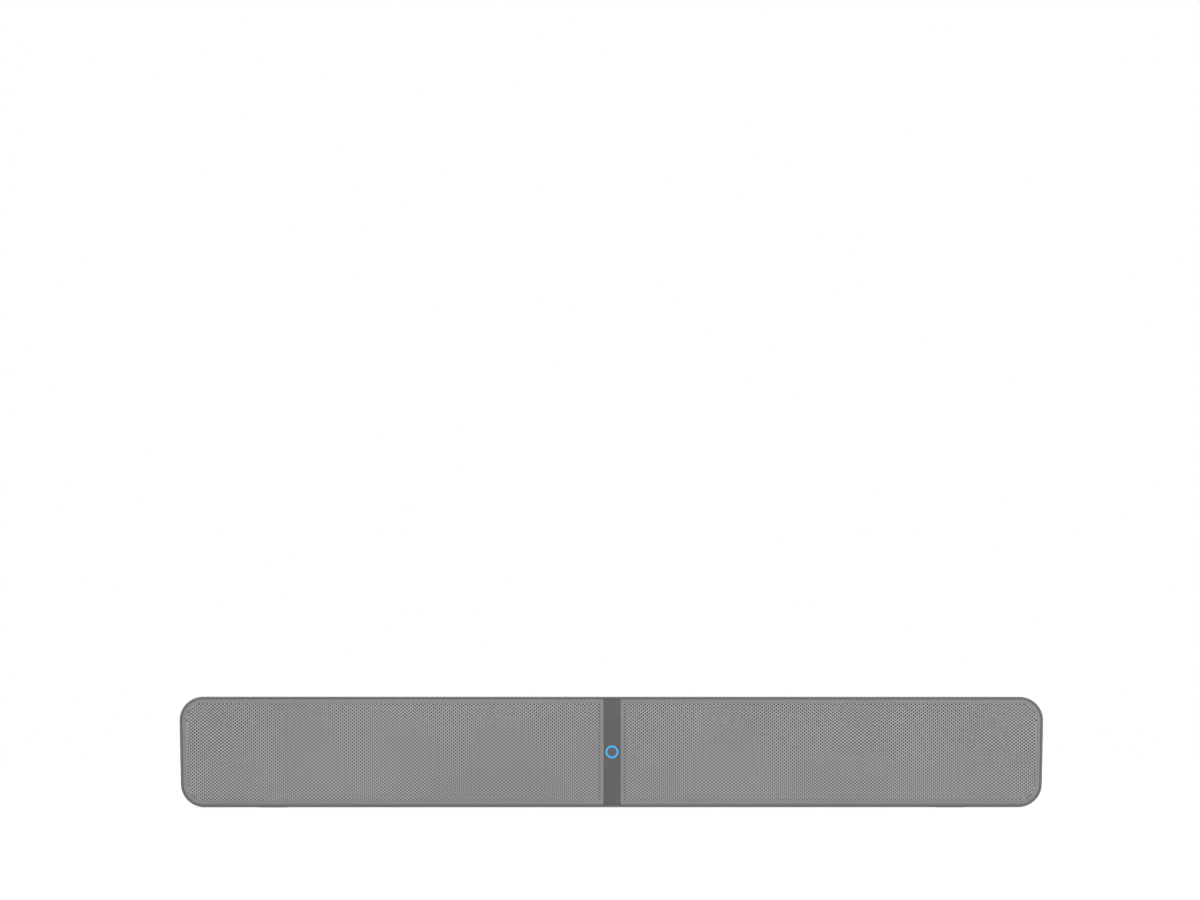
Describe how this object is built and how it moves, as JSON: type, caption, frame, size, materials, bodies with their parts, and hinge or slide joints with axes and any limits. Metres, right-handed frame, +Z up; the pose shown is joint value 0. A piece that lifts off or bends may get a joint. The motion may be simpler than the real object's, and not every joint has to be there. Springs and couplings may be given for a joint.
{
  "type": "soundbar",
  "caption": "Long rounded-corner soundbar with perforated front panels, a plain centre strip with a lit status ring, top push buttons and a rear socket bay.",
  "frame": {"origin": "centre of the footprint, on the floor under the feet", "axes": "+X along the bar to the right as seen from the front, +Y to the back (the front faces -Y), +Z up"},
  "size_m": [1.07, 0.07, 0.1371],
  "materials": {
    "cabinet_abs": "fine moulded texture",
    "baffle_abs": "moulded, unpainted",
    "grille_steel": "powder-coated perforated sheet",
    "acoustic_cloth": "open weave",
    "strip_gloss": "polished",
    "lit_ring": "diffusing light pipe",
    "window_tint": "infrared-passing tint",
    "circuit_board": "solder mask",
    "sink_aluminium": "extruded",
    "button_abs": "fine moulded texture",
    "io_steel": "powder-coated sheet",
    "socket_plastic": "moulded",
    "socket_steel": "tin-plated",
    "foot_rubber": "moulded",
    "insert_brass": "knurled",
    "screw_steel": "zinc-plated",
    "basket_steel": "black coated",
    "motor_ferrite": "sintered",
    "motor_steel": "zinc-plated",
    "coil_copper": "enamelled wire",
    "spider_cloth": "resin-dipped",
    "cone_paper": "coated paper",
    "surround_rubber": "moulded",
    "dome_silk": "coated silk"
  },
  "bodies": {
    "bar": {"rear_shell": "cabinet_abs", "front_baffle": "baffle_abs", "grille_left": "grille_steel", "grille_right": "grille_steel", "grille_cloth_left": "acoustic_cloth", "grille_cloth_right": "acoustic_cloth", "centre_strip": "strip_gloss", "light_ring": "lit_ring", "ir_window": "window_tint", "light_board": "circuit_board", "control_board": "circuit_board", "main_board": "circuit_board", "heat_sink": "sink_aluminium", "power_board": "circuit_board", "io_panel": "io_steel", "power_inlet": "socket_plastic", "video_socket": "socket_steel", "optical_socket": "socket_plastic", "media_socket": "socket_steel", "network_socket": "socket_plastic", "rubber_feet": "foot_rubber", "wall_inserts": "insert_brass", "front_screws": "screw_steel", "board_screws": "screw_steel", "woofer_left_basket": "basket_steel", "woofer_left_magnet": "motor_ferrite", "woofer_left_yoke": "motor_steel", "woofer_left_spider": "spider_cloth", "woofer_left_surround": "surround_rubber", "woofer_right_basket": "basket_steel", "woofer_right_magnet": "motor_ferrite", "woofer_right_yoke": "motor_steel", "woofer_right_spider": "spider_cloth", "woofer_right_surround": "surround_rubber", "mid_left_basket": "basket_steel", "mid_left_motor": "motor_steel", "mid_left_surround": "surround_rubber", "mid_right_basket": "basket_steel", "mid_right_motor": "motor_steel", "mid_right_surround": "surround_rubber", "tweeter_left_faceplate": "baffle_abs", "tweeter_left_motor": "motor_steel", "tweeter_right_faceplate": "baffle_abs", "tweeter_right_motor": "motor_steel", "radiator_left_surround": "surround_rubber", "radiator_right_surround": "surround_rubber"},
    "power_button": {"power_button": "button_abs"},
    "source_button": {"source_button": "button_abs"},
    "volume_down_button": {"volume_down_button": "button_abs"},
    "volume_up_button": {"volume_up_button": "button_abs"},
    "woofer_left_diaphragm": {"woofer_left_cone": "cone_paper", "woofer_left_voice_coil": "coil_copper"},
    "woofer_right_diaphragm": {"woofer_right_cone": "cone_paper", "woofer_right_voice_coil": "coil_copper"},
    "mid_left_diaphragm": {"mid_left_cone": "cone_paper"},
    "mid_right_diaphragm": {"mid_right_cone": "cone_paper"},
    "tweeter_left_diaphragm": {"tweeter_left_dome": "dome_silk"},
    "tweeter_right_diaphragm": {"tweeter_right_dome": "dome_silk"},
    "radiator_left_diaphragm": {"radiator_left_cone": "cone_paper"},
    "radiator_right_diaphragm": {"radiator_right_cone": "cone_paper"}
  },
  "joints": [
    {"name": "power_button_press", "type": "slide", "parent": "bar", "child": "power_button", "axis": [0, 0, -1], "range_m": [0, 0.0005], "stiffness_N_per_m": 3000},
    {"name": "source_button_press", "type": "slide", "parent": "bar", "child": "source_button", "axis": [0, 0, -1], "range_m": [0, 0.0005], "stiffness_N_per_m": 3000},
    {"name": "volume_down_button_press", "type": "slide", "parent": "bar", "child": "volume_down_button", "axis": [0, 0, -1], "range_m": [0, 0.0005], "stiffness_N_per_m": 3000},
    {"name": "volume_up_button_press", "type": "slide", "parent": "bar", "child": "volume_up_button", "axis": [0, 0, -1], "range_m": [0, 0.0005], "stiffness_N_per_m": 3000},
    {"name": "woofer_left_excursion", "type": "slide", "parent": "bar", "child": "woofer_left_diaphragm", "axis": [0, -1, 0], "range_m": [-0.0035, 0.0035], "stiffness_N_per_m": 1200, "deforming": ["woofer_left_surround", "woofer_left_spider"]},
    {"name": "woofer_right_excursion", "type": "slide", "parent": "bar", "child": "woofer_right_diaphragm", "axis": [0, -1, 0], "range_m": [-0.0035, 0.0035], "stiffness_N_per_m": 1200, "deforming": ["woofer_right_surround", "woofer_right_spider"]},
    {"name": "mid_left_excursion", "type": "slide", "parent": "bar", "child": "mid_left_diaphragm", "axis": [0, -1, 0], "range_m": [-0.002, 0.002], "stiffness_N_per_m": 1000, "deforming": ["mid_left_surround"]},
    {"name": "mid_right_excursion", "type": "slide", "parent": "bar", "child": "mid_right_diaphragm", "axis": [0, -1, 0], "range_m": [-0.002, 0.002], "stiffness_N_per_m": 1000, "deforming": ["mid_right_surround"]},
    {"name": "tweeter_left_excursion", "type": "slide", "parent": "bar", "child": "tweeter_left_diaphragm", "axis": [0, -1, 0], "range_m": [-0.0003, 0.0003], "stiffness_N_per_m": 1500},
    {"name": "tweeter_right_excursion", "type": "slide", "parent": "bar", "child": "tweeter_right_diaphragm", "axis": [0, -1, 0], "range_m": [-0.0003, 0.0003], "stiffness_N_per_m": 1500},
    {"name": "radiator_left_excursion", "type": "slide", "parent": "bar", "child": "radiator_left_diaphragm", "axis": [0, -1, 0], "range_m": [-0.005, 0.005], "stiffness_N_per_m": 800, "deforming": ["radiator_left_surround"]},
    {"name": "radiator_right_excursion", "type": "slide", "parent": "bar", "child": "radiator_right_diaphragm", "axis": [0, -1, 0], "range_m": [-0.005, 0.005], "stiffness_N_per_m": 800, "deforming": ["radiator_right_surround"]}
  ]
}
